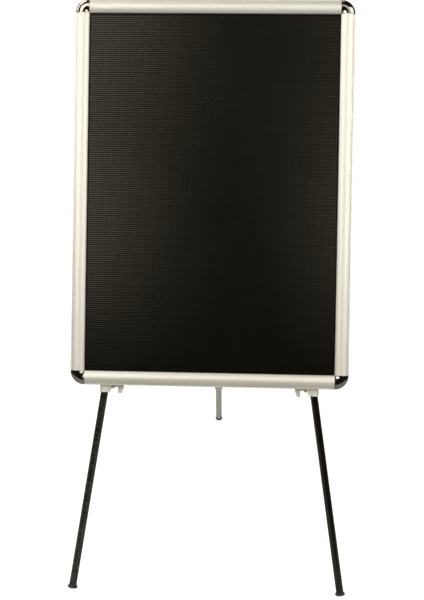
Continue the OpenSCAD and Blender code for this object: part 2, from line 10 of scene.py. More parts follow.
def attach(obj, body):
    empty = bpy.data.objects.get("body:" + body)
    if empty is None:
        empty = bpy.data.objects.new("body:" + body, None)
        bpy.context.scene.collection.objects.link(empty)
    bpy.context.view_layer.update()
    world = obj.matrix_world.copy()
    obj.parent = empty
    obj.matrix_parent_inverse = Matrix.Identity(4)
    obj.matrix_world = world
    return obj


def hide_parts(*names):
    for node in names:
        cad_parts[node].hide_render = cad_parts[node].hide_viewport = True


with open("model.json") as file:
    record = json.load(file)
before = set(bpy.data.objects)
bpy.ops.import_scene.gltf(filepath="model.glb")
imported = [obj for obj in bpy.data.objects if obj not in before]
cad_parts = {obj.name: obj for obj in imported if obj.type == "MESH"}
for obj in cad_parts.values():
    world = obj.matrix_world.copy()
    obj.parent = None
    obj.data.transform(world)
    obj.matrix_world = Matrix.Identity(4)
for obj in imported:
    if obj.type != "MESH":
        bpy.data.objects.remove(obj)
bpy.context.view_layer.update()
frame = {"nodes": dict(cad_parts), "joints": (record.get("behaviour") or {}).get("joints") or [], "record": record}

MM = 0.001  # in metres
MERGE = 0.00001  # points closer than this become one
JOINTS = {joint["name"]: joint for joint in frame["joints"]}
MOUNTS = {mount["name"]: mount for mount in frame["record"]["mounts"]}

# Sizes that the CAD model and these pieces share, in millimetres. S runs inwards from the
# board's outer edge, D runs forwards from its back, R is a radius and T a thickness.
BOARD_W = 640
BOARD_H = 888
RAIL_W = 32
DEPTH = 15
COVER_R = 22
COVER_T = 1.3
HINGE_S = 4.8
HINGE_D = 10.2
BEAD_R = 1.5
GROOVE_R = 1.9
SHEET_W = 594
SHEET_H = 841
SHEET_TOP = 4.6
SHEET_T = 0.8
LIP_D = 5.0
END_GAP = 0.4

# The tubes' outer radii, and the feet
FRONT_LOW = 8.5
FRONT_HIGH = 10
REAR_LOW = 9.5
REAR_MID = 11
REAR_HIGH = 12.5
TUBE_WALL = 1
FOOT_R = 11.3
FOOT_PAD = 3.2
FOOT_LIP = 5.6
FOOT_LIP_T = 0.9
FOOT_PLUG = 26
FOOT_FLOOR = 2.6
FIT = 0.05


# ---------- camera ----------

# Metres, degrees and, for the lens, millimetres
CAMERA_AT = (0.0775, -2.2198, 1.2324)
CAMERA_YAW = 2.197
CAMERA_PITCH = 16.664
CAMERA_ROLL = 0.36
CAMERA_LENS = 51.9
CAMERA_SENSOR = 36


def make_camera():
    """The photograph's viewpoint: a little right of the middle, looking slightly down."""
    camera = bpy.data.objects.new("camera", bpy.data.cameras.new("camera"))
    bpy.context.scene.collection.objects.link(camera)
    camera.data.lens = CAMERA_LENS
    camera.data.sensor_width = CAMERA_SENSOR
    aim = Euler((math.radians(90 - CAMERA_PITCH), 0, math.radians(CAMERA_YAW)))
    roll = Matrix.Rotation(math.radians(CAMERA_ROLL), 4, "Z")
    camera.matrix_world = Matrix.Translation(CAMERA_AT) @ aim.to_matrix().to_4x4() @ roll
    bpy.context.scene.camera = camera


# ---------- frames of reference, all in millimetres inside ----------

def place(origin, x, y, z):
    """The matrix that puts millimetres along x, y and z at origin, in metres."""
    matrix = Matrix((x, y, z)).transposed().to_4x4()
    matrix.translation = origin
    return matrix @ Matrix.Scale(MM, 4)


ACROSS = Vector(JOINTS["snap_bottom_open"]["axis"])
UP = Vector(JOINTS["snap_right_open"]["axis"])
BACK = UP.cross(ACROSS)
BOARD_AT = (Vector(JOINTS["snap_bottom_open"]["pos_m"])
            + BACK * HINGE_D * MM - UP * HINGE_S * MM)
BOARD = place(BOARD_AT, ACROSS, BACK, UP)
LEAN = math.atan2(UP.y, UP.z)


def rail_frame(side):
    """x along the rail, y backwards and z from its outer edge inwards."""
    turns = ("bottom", "left", "top", "right").index(side)
    across = BOARD_W / 2 if turns % 2 else BOARD_H / 2
    return (BOARD @ Matrix.Translation((0, 0, BOARD_H / 2))
            @ Matrix.Rotation(math.radians(90 * turns), 4, "Y")
            @ Matrix.Translation((0, 0, -across)))


def corner_frame(across, up):
    """x and z outwards from a corner's centre of curvature."""
    middle = Matrix.Translation((across * (BOARD_W / 2 - RAIL_W), 0,
                                 BOARD_H / 2 + up * (BOARD_H / 2 - RAIL_W)))
    return BOARD @ middle @ Matrix.Diagonal((across, 1, up, 1))


def leg_frame(mount, slide, mirrored=False):
    """z up along a leg's tube from the middle of its foot's base."""
    z = Vector(JOINTS[slide]["axis"])
    y = (BACK - z * BACK.dot(z)).normalized()
    x = y.cross(z)
    if mirrored:
        x = -x
    return place(Vector(MOUNTS[mount]["pos_m"]), x, y, z)


LEGS = {
    "left": leg_frame("front_left_foot_base", "leg_left_slide"),
    "right": leg_frame("front_right_foot_base", "leg_right_slide", mirrored=True),
    "rear": leg_frame("rear_foot_base", "rear_lower_slide"),
}


def span(node, leg):
    """The lowest and highest place of a CAD node along a leg, in millimetres."""
    inverse = LEGS[leg].inverted()
    heights = [(inverse @ v.co).z for v in frame["nodes"][node].data.vertices]
    return min(heights), max(heights)


# ---------- outlines ----------

def arc(cx, cy, radius, start, end, steps):
    """Points along an arc, its angles in degrees."""
    turns = [math.radians(start + (end - start) * i / steps) for i in range(steps + 1)]
    return [(cx + radius * math.cos(a), cy + radius * math.sin(a)) for a in turns]


# ---------- mesh makers, in local millimetres ----------

def lathe(outline, segments, turn=360):
    """Revolves a closed outline of (radius, height) about z, by turn degrees."""
    bm = bmesh.new()
    closed = turn == 360
    rings = []
    for i in range(segments if closed else segments + 1):
        angle = math.radians(turn * i / segments)
        rings.append([bm.verts.new((radius * math.cos(angle), radius * math.sin(angle), height))
                      for radius, height in outline])
    count = len(outline)
    for i in range(segments):
        one, two = rings[i], rings[(i + 1) % len(rings)]
        for j in range(count):
            k = (j + 1) % count
            bm.faces.new((one[j], two[j], two[k], one[k]))
    if not closed:
        bm.faces.new(list(reversed(rings[0])))
        bm.faces.new(rings[-1])
    bmesh.ops.remove_doubles(bm, verts=bm.verts, dist=MERGE)
    bmesh.ops.dissolve_degenerate(bm, edges=bm.edges, dist=MERGE)
    bmesh.ops.recalc_face_normals(bm, faces=bm.faces)
    return bm


def sweep(outline, x0, x1):
    """Runs a closed outline of (s, d), inwards and forwards, along x from x0 to x1."""
    bm = bmesh.new()
    one, two = [[bm.verts.new((x, -d, s)) for s, d in outline] for x in (x0, x1)]
    count = len(outline)
    for j in range(count):
        k = (j + 1) % count
        bm.faces.new((one[j], one[k], two[k], two[j]))
    bm.faces.new(one)
    bm.faces.new(list(reversed(two)))
    bmesh.ops.recalc_face_normals(bm, faces=bm.faces)
    return bm


def piece(name, bm, matrix, body, nodes, material, sharp=32):
    """Makes an object of a bmesh, places it, sets the body it rides on and hides the CAD nodes it stands for.

    Edges that turn by more than sharp degrees stay sharp."""
    bm.transform(matrix)
    if matrix.determinant() < 0:
        bmesh.ops.reverse_faces(bm, faces=bm.faces)
    mesh = bpy.data.meshes.new(name)
    bm.to_mesh(mesh)
    bm.free()
    mesh.polygons.foreach_set("use_smooth", [True] * len(mesh.polygons))
    mesh.set_sharp_from_angle(angle=math.radians(sharp))
    mesh.materials.append(material)
    obj = bpy.data.objects.new(name, mesh)
    bpy.context.scene.collection.objects.link(obj)
    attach(obj, body)
    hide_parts(*nodes)
    return obj


# ---------- materials ----------

class Shader:
    """A Principled material with a few helpers for its procedural detail."""

    def __init__(self, name, colour, metallic=0.0, roughness=0.5, **sockets):
        self.material = bpy.data.materials.new(name)
        self.material.use_nodes = True
        self.tree = self.material.node_tree
        self.tree.nodes.clear()
        self.output = self.tree.nodes.new("ShaderNodeOutputMaterial")
        self.main = self.tree.nodes.new("ShaderNodeBsdfPrincipled")
        self.link(self.main.outputs[0], self.output.inputs[0])
        self.main.inputs["Base Color"].default_value = (*colour, 1)
        self.main.inputs["Metallic"].default_value = metallic
        self.main.inputs["Roughness"].default_value = roughness
        for socket, value in sockets.items():
            self.main.inputs[socket.replace("_", " ")].default_value = value
        self.colour = colour
        self.height = None

    def link(self, source, target):
        self.tree.links.new(source, target)

    def node(self, kind, **settings):
        """A new node with its settings."""
        made = self.tree.nodes.new(kind)
        for key, value in settings.items():
            setattr(made, key, value)
        return made

    def coordinates(self, stretch=(1, 1, 1), turn=(0, 0, 0)):
        """Object coordinates, turned and then scaled along each axis."""
        place_on_object = self.node("ShaderNodeTexCoord")
        turned = self.node("ShaderNodeMapping", vector_type="POINT")
        turned.inputs["Rotation"].default_value = turn
        scaled = self.node("ShaderNodeMapping", vector_type="POINT")
        scaled.inputs["Scale"].default_value = stretch
        self.link(place_on_object.outputs["Object"], turned.inputs["Vector"])
        self.link(turned.outputs[0], scaled.inputs["Vector"])
        return scaled.outputs[0]

    def noise(self, scale, detail=3.0, roughness=0.55, stretch=(1, 1, 1), turn=(0, 0, 0)):
        """Noise in object coordinates, with scale times stretch waves to a metre."""
        noise = self.node("ShaderNodeTexNoise")
        noise.inputs["Scale"].default_value = scale
        noise.inputs["Detail"].default_value = detail
        noise.inputs["Roughness"].default_value = roughness
        self.link(self.coordinates(stretch, turn), noise.inputs["Vector"])
        return noise.outputs["Fac"]

    def ramp(self, value, low, high, to=(0, 1)):
        """Maps value from low..high to the range in to, held at the ends."""
        made = self.node("ShaderNodeMapRange", clamp=True)
        made.inputs["From Min"].default_value = low
        made.inputs["From Max"].default_value = high
        made.inputs["To Min"].default_value, made.inputs["To Max"].default_value = to
        self.link(value, made.inputs["Value"])
        return made.outputs[0]

    def tint(self, factor, other):
        """Mixes the base colour towards another one by factor."""
        mix = self.node("ShaderNodeMix", data_type="RGBA")
        mix.inputs["A"].default_value = (*self.colour, 1)
        mix.inputs["B"].default_value = (*other, 1)
        current = self.main.inputs["Base Color"]
        if current.is_linked:
            self.link(current.links[0].from_socket, mix.inputs["A"])
        self.link(factor, mix.inputs["Factor"])
        self.link(mix.outputs["Result"], current)

    def rough(self, value):
        """Sets the roughness from a texture."""
        self.link(value, self.main.inputs["Roughness"])

    def bump(self, height, distance, strength):
        """Adds a bump layer, its distance in metres, on the ones before."""
        bump = self.node("ShaderNodeBump")
        bump.inputs["Strength"].default_value = strength
        bump.inputs["Distance"].default_value = distance
        self.link(height, bump.inputs["Height"])
        if self.height is not None:
            self.link(self.height, bump.inputs["Normal"])
        self.height = bump.outputs["Normal"]
        self.link(self.height, self.main.inputs["Normal"])

    def worn_edges(self, low=0.52, high=0.6):
        """1 on convex edges, 0 elsewhere."""
        geometry = self.node("ShaderNodeNewGeometry")
        return self.ramp(geometry.outputs["Pointiness"], low, high)


def shaded(colour, amount):
    """The colour made darker, or lighter above 1."""
    return tuple(c * amount for c in colour)


# Turns that set the board or the rear leg upright before a texture is stretched along it
ALONG_BOARD = (-LEAN, 0, 0)
ALONG_REAR_LEG = (math.radians(24), 0, 0)

SHEEN_TINT = (1.0, 0.93, 0.74, 1.0)


def satin_aluminium(name, along):
    """Anodised extrusion: fine draw lines along the rail, soft cloudy sheen, brighter edges."""
    shader = Shader(name, (0.71, 0.70, 0.665), metallic=1.0, roughness=0.56)
    dull = (0.66, 0.655, 0.64)
    bare = (0.83, 0.82, 0.80)
    waves = [1100, 1100, 1100]
    waves["xyz".index(along)] = 3
    lines = shader.noise(scale=1, detail=2, stretch=waves, turn=ALONG_BOARD)
    cloud = shader.noise(scale=9, detail=4, turn=ALONG_BOARD)
    shader.tint(shader.ramp(cloud, 0.35, 0.7, to=(0, 0.5)), dull)
    shader.tint(shader.worn_edges(), bare)
    shader.rough(shader.ramp(lines, 0.3, 0.7, to=(0.5, 0.62)))
    shader.bump(lines, distance=0.00003, strength=0.35)
    shader.bump(shader.noise(scale=2600, detail=1), distance=0.00001, strength=0.15)
    return shader.material


def bright_chrome(name, colour, roughness, smudge, along=None, turn=(0, 0, 0)):
    """Polished plating with faint smudges and hairlines, drawn out along an axis if it's given."""
    shader = Shader(name, colour, metallic=1.0, roughness=roughness)
    cloud = shader.noise(scale=38, detail=5, roughness=0.6)
    waves = [420, 420, 420]
    if along:
        waves["xyz".index(along)] = 6
    hair = shader.noise(scale=1, detail=2, stretch=waves, turn=turn)
    shader.rough(shader.ramp(cloud, 0.42, 0.78, to=(roughness, roughness + smudge)))
    shader.tint(shader.ramp(hair, 0.45, 0.75, to=(0, 0.6)), shaded(colour, 0.82))
    shader.bump(hair, distance=0.00002, strength=0.12)
    return shader.material


def moulded(name, colour, roughness, grain=1500, wear=(0.6, 0.6, 0.57)):
    """Moulded plastic: fine texture, slow shade changes, dulled edges."""
    shader = Shader(name, colour, roughness=roughness)
    cloud = shader.noise(scale=46, detail=4)
    shader.tint(shader.ramp(cloud, 0.35, 0.75, to=(0, 0.45)), shaded(colour, 0.78))
    shader.tint(shader.worn_edges(0.53, 0.62), wear)
    shader.rough(shader.ramp(cloud, 0.3, 0.7, to=(roughness - 0.08, roughness + 0.1)))
    shader.bump(shader.noise(scale=grain, detail=2), distance=0.00006, strength=0.25)
    return shader.material


def rubber(name):
    """Black rubber with a faded bloom and pale dust."""
    shader = Shader(name, (0.022, 0.021, 0.019), roughness=0.72)
    bloom = (0.055, 0.052, 0.046)
    pale_dust = (0.12, 0.115, 0.10)
    cloud = shader.noise(scale=60, detail=5, roughness=0.65)
    dust = shader.noise(scale=420, detail=4, roughness=0.7)
    shader.tint(shader.ramp(cloud, 0.4, 0.8, to=(0, 0.6)), bloom)
    shader.tint(shader.ramp(dust, 0.58, 0.78, to=(0, 0.5)), pale_dust)
    shader.rough(shader.ramp(cloud, 0.3, 0.7, to=(0.62, 0.85)))
    shader.bump(dust, distance=0.00012, strength=0.3)
    return shader.material


def powder_coat(name, colour):
    """Powder coating: an orange-peel surface, worn to bare metal on the edges."""
    shader = Shader(name, colour, roughness=0.48)
    bare = (0.34, 0.34, 0.33)
    orange_peel = shader.noise(scale=700, detail=2)
    cloud = shader.noise(scale=24, detail=4)
    shader.tint(shader.ramp(cloud, 0.4, 0.75, to=(0, 0.4)), shaded(colour, 1.35))
    shader.tint(shader.worn_edges(0.54, 0.64), bare)
    shader.rough(shader.ramp(orange_peel, 0.3, 0.7, to=(0.4, 0.56)))
    shader.bump(orange_peel, distance=0.00012, strength=0.3)
    return shader.material


def gloss_enamel(name, colour, scuff_and_sheen_colour):
    """Black stoved enamel on the front tubes: glossy, with streaks drawn out along the tube that are partly scuffs
    and partly painted sheen.
    """
    shader = Shader(name, colour, roughness=0.1)
    grey_dust = (0.05, 0.05, 0.043)
    scuff_and_sheen_streaks = shader.noise(scale=300, detail=5, roughness=0.68, stretch=(1, 1, 0.1),
                          turn=ALONG_BOARD)
    rubs = shader.noise(scale=520, detail=3, roughness=0.6, stretch=(1, 1, 0.06),
                        turn=ALONG_BOARD)
    dust = shader.noise(scale=900, detail=3, roughness=0.7)
    # The streaks take the given colour: scuffs, and painted sheen where that colour is lighter than the enamel.
    shader.tint(shader.ramp(scuff_and_sheen_streaks, 0.42, 0.62), scuff_and_sheen_colour)
    shader.tint(shader.ramp(dust, 0.62, 0.8, to=(0, 0.3)), grey_dust)
    shader.rough(shader.ramp(scuff_and_sheen_streaks, 0.4, 0.65, to=(0.06, 0.2)))
    shader.bump(rubs, distance=0.00003, strength=0.25)
    return shader.material


def zinc(name, colour=(0.56, 0.55, 0.52)):
    """Zinc plating: small dull spangles and a fine grain."""
    shader = Shader(name, colour, metallic=1.0, roughness=0.33)
    dull = (0.45, 0.44, 0.40)
    spangle = shader.noise(scale=260, detail=3, roughness=0.6)
    shader.tint(shader.ramp(spangle, 0.4, 0.7, to=(0, 0.5)), dull)
    shader.rough(shader.ramp(spangle, 0.3, 0.7, to=(0.26, 0.42)))
    shader.bump(shader.noise(scale=1400, detail=2), distance=0.00003, strength=0.2)
    return shader.material


def grid_sheet(name):
    """Near-black embossed plastic with a low, slightly uneven sheen and a little dust."""
    shader = Shader(name, (0.003, 0.0028, 0.0021), roughness=0.16,
                    Specular_IOR_Level=0.54, Specular_Tint=SHEEN_TINT)
    lighter = (0.005, 0.0047, 0.0036)
    grey_dust = (0.02, 0.019, 0.015)
    cloud = shader.noise(scale=5, detail=5, roughness=0.6, stretch=(1, 1, 0.6))
    dust = shader.noise(scale=330, detail=3, roughness=0.7)
    shader.tint(shader.ramp(cloud, 0.35, 0.75, to=(0, 0.5)), lighter)
    shader.tint(shader.ramp(dust, 0.68, 0.82, to=(0, 0.3)), grey_dust)
    shader.rough(shader.ramp(cloud, 0.3, 0.7, to=(0.13, 0.2)))
    shader.bump(shader.noise(scale=1500, detail=2), distance=0.00005, strength=0.2)
    return shader.material


def painted_shade_black(name):
    """Painted shade for the grid's sunken cells and for a band of the sheet along the rails: duller and darker
    than the sheet, with a little lint.
    """
    shader = Shader(name, (0.0010, 0.0010, 0.0008), roughness=0.35, Specular_IOR_Level=0.1,
                    Specular_Tint=SHEEN_TINT)
    grey_lint = (0.012, 0.011, 0.009)
    lint = shader.noise(scale=330, detail=3, roughness=0.7)
    shader.tint(shader.ramp(lint, 0.66, 0.82, to=(0, 0.4)), grey_lint)
    return shader.material


def back_board(name):
    """Dark fibre board with a flat grain."""
    shader = Shader(name, (0.045, 0.045, 0.043), roughness=0.6)
    lighter = (0.062, 0.061, 0.057)
    fibre = shader.noise(scale=320, detail=4, roughness=0.6, stretch=(1, 1, 6))
    cloud = shader.noise(scale=6, detail=4)
    shader.tint(shader.ramp(cloud, 0.4, 0.75, to=(0, 0.6)), lighter)
    shader.rough(shader.ramp(fibre, 0.3, 0.7, to=(0.5, 0.7)))
    shader.bump(fibre, distance=0.00012, strength=0.3)
    return shader.material


MATERIALS = {
    "rail_cross": satin_aluminium("rail_cross", "x"),
    "rail_upright": satin_aluminium("rail_upright", "z"),
    "cap_chrome": bright_chrome("cap_chrome", (0.32, 0.295, 0.28), roughness=0.035,
                                smudge=0.08),
    # The same black enamel twice: the left copy is painted lighter with a grey painted sheen, the right copy
    # painted darker as shade.
    "left_tube_painted_sheen": gloss_enamel("left_tube_painted_sheen", (0.006, 0.006, 0.005),
                              scuff_and_sheen_colour=(0.052, 0.053, 0.043)),
    "right_tube_painted_shade": gloss_enamel("right_tube_painted_shade", (0.002, 0.002, 0.0015),
                               scuff_and_sheen_colour=(0.014, 0.010, 0.006)),
    "rear_tube": bright_chrome("rear_tube", (0.86, 0.88, 0.83), roughness=0.14, smudge=0.16,
                               along="z", turn=ALONG_REAR_LEG),
    "grid_sheet": grid_sheet("grid_sheet"),
    # Painted shade for the grid's pits and for the band along the rails
    "painted_shade_black": painted_shade_black("painted_shade_black"),
    "back_board": back_board("back_board"),
    "zinc": zinc("zinc"),
    "spring": zinc("spring", (0.36, 0.37, 0.39)),
    "bracket": powder_coat("bracket", (0.075, 0.076, 0.078)),
    "collar": moulded("collar", (0.80, 0.80, 0.735), roughness=0.42),
    "socket": moulded("socket", (0.30, 0.30, 0.28), roughness=0.46, grain=1200,
                      wear=(0.45, 0.45, 0.43)),
    "lever": moulded("lever", (0.68, 0.68, 0.625), roughness=0.4),
    "shoe": moulded("shoe", (0.12, 0.12, 0.115), roughness=0.55),
    "nylon": moulded("nylon", (0.66, 0.65, 0.59), roughness=0.4, grain=900,
                     wear=(0.75, 0.74, 0.7)),
    "plug": moulded("plug", (0.03, 0.03, 0.03), roughness=0.5, grain=1300,
                    wear=(0.08, 0.08, 0.08)),
    "rubber": rubber("rubber"),
}


# ---------- the board ----------

def cover_outline():
    """The snap rail's section: hinge bead, one rounded front, and a turned-down lip."""
    drop = DEPTH - HINGE_D - BEAD_R
    arc_s = HINGE_S + math.sqrt(2 * COVER_R * drop - drop * drop)
    arc_d = DEPTH - COVER_R
    nose = 3.2
    lip = 1.6
    soft = 0.4
    inner_r = COVER_R - COVER_T
    nose_s = RAIL_W - nose
    nose_d = arc_d + math.sqrt((COVER_R - nose) ** 2 - (nose_s - arc_s) ** 2)
    front_end = math.degrees(math.atan2(nose_d - arc_d, nose_s - arc_s))
    front_start = math.degrees(math.atan2(HINGE_D + BEAD_R - arc_d, HINGE_S - arc_s))
    inside_start = 119
    inside_end = math.degrees(math.acos((RAIL_W - lip - arc_s) / inner_r))
    bead_start, bead_end = 90, 395
    outline = arc(HINGE_S, HINGE_D, BEAD_R, bead_start, bead_end, steps=18)
    outline += arc(arc_s, arc_d, inner_r, inside_start, inside_end, steps=30)
    outline += [(RAIL_W - lip, LIP_D + soft), (RAIL_W - lip + soft, LIP_D),
                (RAIL_W - soft, LIP_D), (RAIL_W, LIP_D + soft)]
    outline += arc(nose_s, nose_d, nose, 0, front_end, steps=8)
    outline += arc(arc_s, arc_d, COVER_R, front_end, front_start, steps=44)[1:-1]
    return outline


def base_outline():
    """The base rail's section with its key chamber closed off inside."""
    base_s, base_t = 30, 1.8
    chamber_s, chamber_d = 14.6, 6.6
    post_s, post_d = 7.9, 10.2
    soft, ease = 0.2, 0.3
    wall_s, wall_top = 2.6, HINGE_D + 0.2
    corner_r = 0.9
    foot_ease = 0.5
    groove_start = math.degrees(math.asin((wall_top - HINGE_D) / GROOVE_R))
    outline = [(foot_ease, 0), (base_s - ease, 0), (base_s, ease), (base_s, base_t - ease),
               (base_s - ease, base_t), (chamber_s, base_t), (chamber_s, chamber_d - soft),
               (chamber_s - soft, chamber_d), (post_s, chamber_d), (post_s, post_d - ease),
               (post_s - ease, post_d)]
    outline += arc(HINGE_S, HINGE_D, GROOVE_R, 0, -180 - groove_start, steps=16)
    outline += [(wall_s, wall_top), (corner_r, wall_top)]
    outline += arc(corner_r, wall_top - corner_r, corner_r, 100, 180, steps=4)
    outline += [(0, foot_ease)]
    return outline


def cap_outline():
    """Half of a corner cap's domed section, from its inner corner outwards."""
    proud = 0.8
    radius = COVER_R + 4
    centre_r = RAIL_W - 15
    centre_d = DEPTH + proud - radius
    edge = 4.5
    edge_r = RAIL_W - edge
    edge_d = centre_d + math.sqrt((radius - edge) ** 2 - (edge_r - centre_r) ** 2)
    join_angle = math.degrees(math.atan2(edge_d - centre_d, edge_r - centre_r))
    start = math.degrees(math.acos(-centre_r / radius))
    ease = 0.6
    rim_ease = 0.8
    outline = [(0, ease)]
    outline += arc(centre_r, centre_d, radius, start, join_angle, steps=40)
    outline += arc(edge_r, edge_d, edge, join_angle, 0, steps=12)[1:]
    outline += [(RAIL_W, rim_ease), (RAIL_W - rim_ease, 0), (ease, 0)]
    return outline


def corner_cap(name, across, up):
    """A quarter turn of the dome, its two ends rounded where they meet the rails."""
    ease = 1.1
    bm = lathe(cap_outline(), segments=40, turn=90)
    ends = [edge for edge in bm.edges if len(edge.link_faces) == 2
            and len([face for face in edge.link_faces if len(face.verts) > 4]) == 1]
    bmesh.ops.bevel(bm, geom=ends, offset=ease, segments=4, profile=0.5,
                    affect="EDGES", clamp_overlap=True)
    bm.transform(Matrix.Rotation(math.radians(90), 4, "X"))
    piece(name + "_skin", bm, corner_frame(across, up), "board", [name],
          MATERIALS["cap_chrome"], sharp=50)


def embossed_sheet():
    """The dark sheet: raised grid lines round small sunken pyramids, and a plain edge.

    The pits, and a band of the sheet next to the rails, take the second material: painted shade."""
    pitch = 4.84
    line = 1.0
    half_x, half_z = 0.3, 0.6
    step_down = 0.05
    sunk = 0.5
    # Width in mm of the band along the rails that is painted as shade
    shade_band = 3.5
    across = round((SHEET_W - 2 * line) / pitch)
    up = round((SHEET_H - 2 * line) / pitch)
    step_x = (SHEET_W - 2 * line) / across
    step_z = (SHEET_H - 2 * line) / up
    low = (BOARD_H - SHEET_H) / 2 + line
    verts = []
    faces = []

    def add(x, depth, z):
        """Adds a point, depth in front of the board's back, and returns its number."""
        verts.append((x, -depth, z))
        return len(verts) - 1

    grid = [[add(-SHEET_W / 2 + line + i * step_x, SHEET_TOP, low + j * step_z)
             for j in range(up + 1)] for i in range(across + 1)]
    for i in range(across):
        for j in range(up):
            corners = [grid[i][j], grid[i + 1][j], grid[i + 1][j + 1], grid[i][j + 1]]
            x = -SHEET_W / 2 + line + i * step_x
            z = low + j * step_z
            ends = [(x + half_x, z + half_z), (x + step_x - half_x, z + half_z),
                    (x + step_x - half_x, z + step_z - half_z),
                    (x + half_x, z + step_z - half_z)]
            rim = [add(a, SHEET_TOP - step_down, b) for a, b in ends]
            pit = add(x + step_x / 2, SHEET_TOP - sunk, z + step_z / 2)
            for k in range(4):
                n = (k + 1) % 4
                faces.append((corners[k], corners[n], rim[n], rim[k]))
                faces.append((rim[k], rim[n], pit))
    outer = [add(x, SHEET_TOP, z) for x, z in (
        (-SHEET_W / 2, low - line), (SHEET_W / 2, low - line),
        (SHEET_W / 2, low - line + SHEET_H), (-SHEET_W / 2, low - line + SHEET_H))]
    behind = [add(verts[v][0], SHEET_TOP - SHEET_T, verts[v][2]) for v in outer]
    edges = [[grid[i][0] for i in range(across + 1)],
             [grid[across][j] for j in range(up + 1)],
             [grid[i][up] for i in range(across, -1, -1)],
             [grid[0][j] for j in range(up, -1, -1)]]
    for k in range(4):
        n = (k + 1) % 4
        faces.append((outer[k], outer[n], *reversed(edges[k])))
        faces.append((outer[n], outer[k], behind[k], behind[n]))
    faces.append(tuple(reversed(behind)))
    mesh = bpy.data.meshes.new("sheet")
    mesh.from_pydata(verts, [], faces)
    bm = bmesh.new()
    bm.from_mesh(mesh)
    bpy.data.meshes.remove(mesh)
    bmesh.ops.recalc_face_normals(bm, faces=bm.faces)
    # The pits and a band just inside the rails take painted shade, darker and duller than the grid lines.
    for face in bm.faces:
        spot = face.calc_center_median()
        inside = min(BOARD_W / 2 - abs(spot.x), BOARD_H / 2 - abs(spot.z - BOARD_H / 2))
        in_pit = len(face.verts) == 3
        face.material_index = int(in_pit or inside < RAIL_W + shade_band)
    return bm


def build_board():
    """The rails, the corner caps and the dark sheet."""
    for side in ("top", "bottom", "left", "right"):
        upright = side in ("left", "right")
        half = (BOARD_H if upright else BOARD_W) / 2 - RAIL_W
        material = MATERIALS["rail_upright" if upright else "rail_cross"]
        piece(f"snap_rail_{side}_skin", sweep(cover_outline(), END_GAP - half, half - END_GAP),
              rail_frame(side), f"snap_{side}", [f"snap_rail_{side}"],
              material, sharp=40)
        piece(f"base_rail_{side}_skin", sweep(base_outline(), -half, half),
              rail_frame(side), "board", [f"base_rail_{side}"],
              material, sharp=40)
    for up, vertical in ((1, "top"), (-1, "bottom")):
        for across, horizontal in ((-1, "left"), (1, "right")):
            corner_cap(f"corner_cap_{vertical}_{horizontal}", across, up)
    sheet = piece("insert_sheet", embossed_sheet(), BOARD, "board", ["insert_panel"],
                  MATERIALS["grid_sheet"], sharp=80)
    # The second material paints shade into the pits and along the rails.
    sheet.data.materials.append(MATERIALS["painted_shade_black"])


# ---------- the legs ----------

def tube_mesh(radius, low, high):
    """A tube with softened rims."""
    ease = 0.3
    inner = radius - TUBE_WALL
    outline = [(inner, low + ease), (inner + ease, low), (radius - ease, low),
               (radius, low + ease), (radius, high - ease), (radius - ease, high),
               (inner + ease, high), (inner, high - ease)]
    return lathe(outline, segments=72)


def foot_mesh(tube_r):
    """The rubber foot: a pad flared out under a tube's end and a ribbed plug inside it."""
    tread = 0.5
    sole_r = 0.9
    pad_r = 0.8
    lip_r = tube_r + FOOT_LIP_T
    lip_flare = 0.35
    lip_ease = 0.3
    seat_r = tube_r + FIT
    seat_ease = 0.15
    plug_r = tube_r - TUBE_WALL - FIT
    plug_ease = 0.6
    groove_heights = (8, 12, 16, 20)
    groove_d, groove_h, slope = 0.4, 2.1, 0.5
    outline = [(0, tread), (4.2, tread), (4.6, 0), (6.6, 0), (7.0, tread), (8.2, tread), (8.6, 0)]
    outline += arc(FOOT_R - sole_r, sole_r, sole_r, -90, 0, steps=6)
    outline += arc(FOOT_R - pad_r, FOOT_PAD - pad_r, pad_r, 0, 50, steps=5)
    outline += [(lip_r + lip_flare, FOOT_LIP - 3 * lip_ease), (lip_r, FOOT_LIP - lip_ease),
                (lip_r - lip_ease, FOOT_LIP), (seat_r + seat_ease, FOOT_LIP),
                (seat_r, FOOT_LIP - seat_ease), (seat_r, FOOT_FLOOR), (plug_r, FOOT_FLOOR)]
    for height in groove_heights:
        outline += [(plug_r, height), (plug_r - groove_d, height + slope),
                    (plug_r - groove_d, height + groove_h - slope), (plug_r, height + groove_h)]
    outline += [(plug_r, FOOT_PLUG - plug_ease), (plug_r - plug_ease, FOOT_PLUG),
                (0, FOOT_PLUG)]
    return lathe(outline, segments=72)


def build_legs():
    """The seven tubes and the three feet."""
    tubes = (
        ("inner_tube_left", "left", "leg_left", FRONT_LOW, "left_tube_painted_sheen", "tube_black"),
        ("inner_tube_right", "right", "leg_right", FRONT_LOW, "right_tube_painted_shade", "tube_black"),
        ("outer_tube_left", "left", "board", FRONT_HIGH, "left_tube_painted_sheen", "tube_black"),
        ("outer_tube_right", "right", "board", FRONT_HIGH, "right_tube_painted_shade", "tube_black"),
        ("rear_upper_tube", "rear", "rear_upper", REAR_HIGH, "rear_tube", "tube_chrome"),
        ("rear_mid_tube", "rear", "rear_mid", REAR_MID, "rear_tube", "tube_chrome"),
        ("rear_lower_tube", "rear", "rear_lower", REAR_LOW, "rear_tube", "tube_chrome"),
    )
    for node, leg, body, radius, material, slot in tubes:
        piece(node + "_skin", tube_mesh(radius, *span(node, leg)), LEGS[leg], body,
              [node], MATERIALS[material])
    for node, leg, body, radius in (("foot_left", "left", "leg_left", FRONT_LOW),
                                    ("foot_right", "right", "leg_right", FRONT_LOW),
                                    ("rear_foot", "rear", "rear_lower", REAR_LOW)):
        piece(node + "_skin", foot_mesh(radius), LEGS[leg], body, [node],
              MATERIALS["rubber"])


# ---------- CAD nodes that stay ----------

